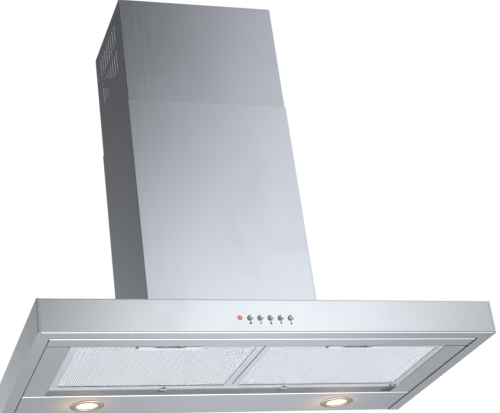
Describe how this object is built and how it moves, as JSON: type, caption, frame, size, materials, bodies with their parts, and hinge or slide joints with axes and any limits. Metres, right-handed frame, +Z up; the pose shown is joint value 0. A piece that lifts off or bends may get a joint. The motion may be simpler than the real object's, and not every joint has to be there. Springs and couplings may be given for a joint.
{
  "type": "wall chimney range hood",
  "caption": "Wide flat canopy with push buttons, drop-open grease filters, two lamps and a telescopic chimney round a centrifugal blower.",
  "frame": {"origin": "centre of the four wall bolts, on the wall plane", "axes": "+X to the right as the cook faces it, +Y into the wall, +Z up"},
  "size_m": [0.9, 0.4845, 0.8905],
  "materials": {
    "stainless": "brushed along the sheet",
    "galvanised": "dull zinc",
    "filter_alloy": "satin",
    "spring_steel": "plain",
    "chrome": "polished",
    "lamp_glass": "frosted",
    "reflector": "polished",
    "lamp_ceramic": "matt",
    "dark_plastic": "fine grain",
    "pale_plastic": "fine grain",
    "blower_plastic": "fine grain",
    "orange_lens": "clear orange",
    "motor_paint": "satin",
    "white_plastic": "smooth"
  },
  "bodies": {
    "hood": {"canopy_shell": "stainless", "fascia": "stainless", "front_strip": "stainless", "side_panel_left": "stainless", "side_panel_right": "stainless", "lamp_panel": "stainless", "filter_ledge": "stainless", "chimney_lower": "stainless", "lamp_bezel_left": "chrome", "lamp_bezel_right": "chrome", "lamp_lens_left": "lamp_glass", "lamp_lens_right": "lamp_glass", "lamp_reflector_left": "reflector", "lamp_reflector_right": "reflector", "lamp_capsule_left": "lamp_ceramic", "lamp_capsule_right": "lamp_ceramic", "lamp_can_left": "galvanised", "lamp_can_right": "galvanised", "indicator_lens": "orange_lens", "switch_block": "dark_plastic", "blower_box": "galvanised", "blower_scroll": "blower_plastic", "blower_motor": "motor_paint", "motor_bracket": "galvanised", "motor_capacitor": "white_plastic", "lamp_transformer": "motor_paint", "terminal_box": "pale_plastic", "cable_gland": "dark_plastic", "outlet_collar": "blower_plastic", "flap_pin": "spring_steel", "chimney_bracket": "galvanised"},
    "filter_left": {"filter_frame_left": "filter_alloy", "filter_mesh_left": "filter_alloy", "filter_core_left": "filter_alloy"},
    "filter_right": {"filter_frame_right": "filter_alloy", "filter_mesh_right": "filter_alloy", "filter_core_right": "filter_alloy"},
    "latch_left": {"filter_latch_left": "stainless", "latch_spring_left": "spring_steel"},
    "latch_right": {"filter_latch_right": "stainless", "latch_spring_right": "spring_steel"},
    "button_off": {"button_off": "chrome"},
    "button_speed_1": {"button_speed_1": "chrome"},
    "button_speed_2": {"button_speed_2": "chrome"},
    "button_speed_3": {"button_speed_3": "chrome"},
    "button_light": {"button_light": "chrome"},
    "rotor": {"blower_wheel": "dark_plastic", "motor_shaft": "spring_steel"},
    "flap_left": {"flap_left": "blower_plastic"},
    "flap_right": {"flap_right": "blower_plastic"},
    "upper_cover": {"chimney_upper": "stainless", "cover_screw_left": "stainless", "cover_screw_right": "stainless"}
  },
  "joints": [
    {"name": "filter_left_drop", "type": "hinge", "parent": "hood", "child": "filter_left", "pos_m": [-0.189, -0.161, -0.193], "axis": [1, 0, 0], "range_deg": [0, 75]},
    {"name": "latch_left_slide", "type": "slide", "parent": "filter_left", "child": "latch_left", "axis": [0, 1, 0], "range_m": [0, 0.0035], "stiffness_N_per_m": 500, "springref_m": -0.002},
    {"name": "filter_right_drop", "type": "hinge", "parent": "hood", "child": "filter_right", "pos_m": [0.189, -0.161, -0.193], "axis": [1, 0, 0], "range_deg": [0, 75]},
    {"name": "latch_right_slide", "type": "slide", "parent": "filter_right", "child": "latch_right", "axis": [0, 1, 0], "range_m": [0, 0.0035], "stiffness_N_per_m": 500, "springref_m": -0.002},
    {"name": "button_off_press", "type": "slide", "parent": "hood", "child": "button_off", "axis": [0, 1, 0], "range_m": [0, 0.003], "stiffness_N_per_m": 600, "springref_m": -0.001},
    {"name": "button_speed_1_press", "type": "slide", "parent": "hood", "child": "button_speed_1", "axis": [0, 1, 0], "range_m": [0, 0.003], "stiffness_N_per_m": 600, "springref_m": -0.001},
    {"name": "button_speed_2_press", "type": "slide", "parent": "hood", "child": "button_speed_2", "axis": [0, 1, 0], "range_m": [0, 0.003], "stiffness_N_per_m": 600, "springref_m": -0.001},
    {"name": "button_speed_3_press", "type": "slide", "parent": "hood", "child": "button_speed_3", "axis": [0, 1, 0], "range_m": [0, 0.003], "stiffness_N_per_m": 600, "springref_m": -0.001},
    {"name": "button_light_press", "type": "slide", "parent": "hood", "child": "button_light", "axis": [0, 1, 0], "range_m": [0, 0.003], "stiffness_N_per_m": 600, "springref_m": -0.001},
    {"name": "impeller_spin", "type": "hinge", "parent": "hood", "child": "rotor", "pos_m": [-0.066, -0.12, -0.034], "axis": [0, 1, 0], "continuous": true},
    {"name": "flap_left_swing", "type": "hinge", "parent": "hood", "child": "flap_left", "pos_m": [0, -0.12, 0.146], "axis": [0, 1, 0], "range_deg": [0, 80]},
    {"name": "flap_right_swing", "type": "hinge", "parent": "hood", "child": "flap_right", "pos_m": [0, -0.12, 0.146], "axis": [0, -1, 0], "range_deg": [0, 80]},
    {"name": "upper_cover_slide", "type": "slide", "parent": "hood", "child": "upper_cover", "axis": [0, 0, 1], "range_m": [-0.3, 0.15]}
  ]
}
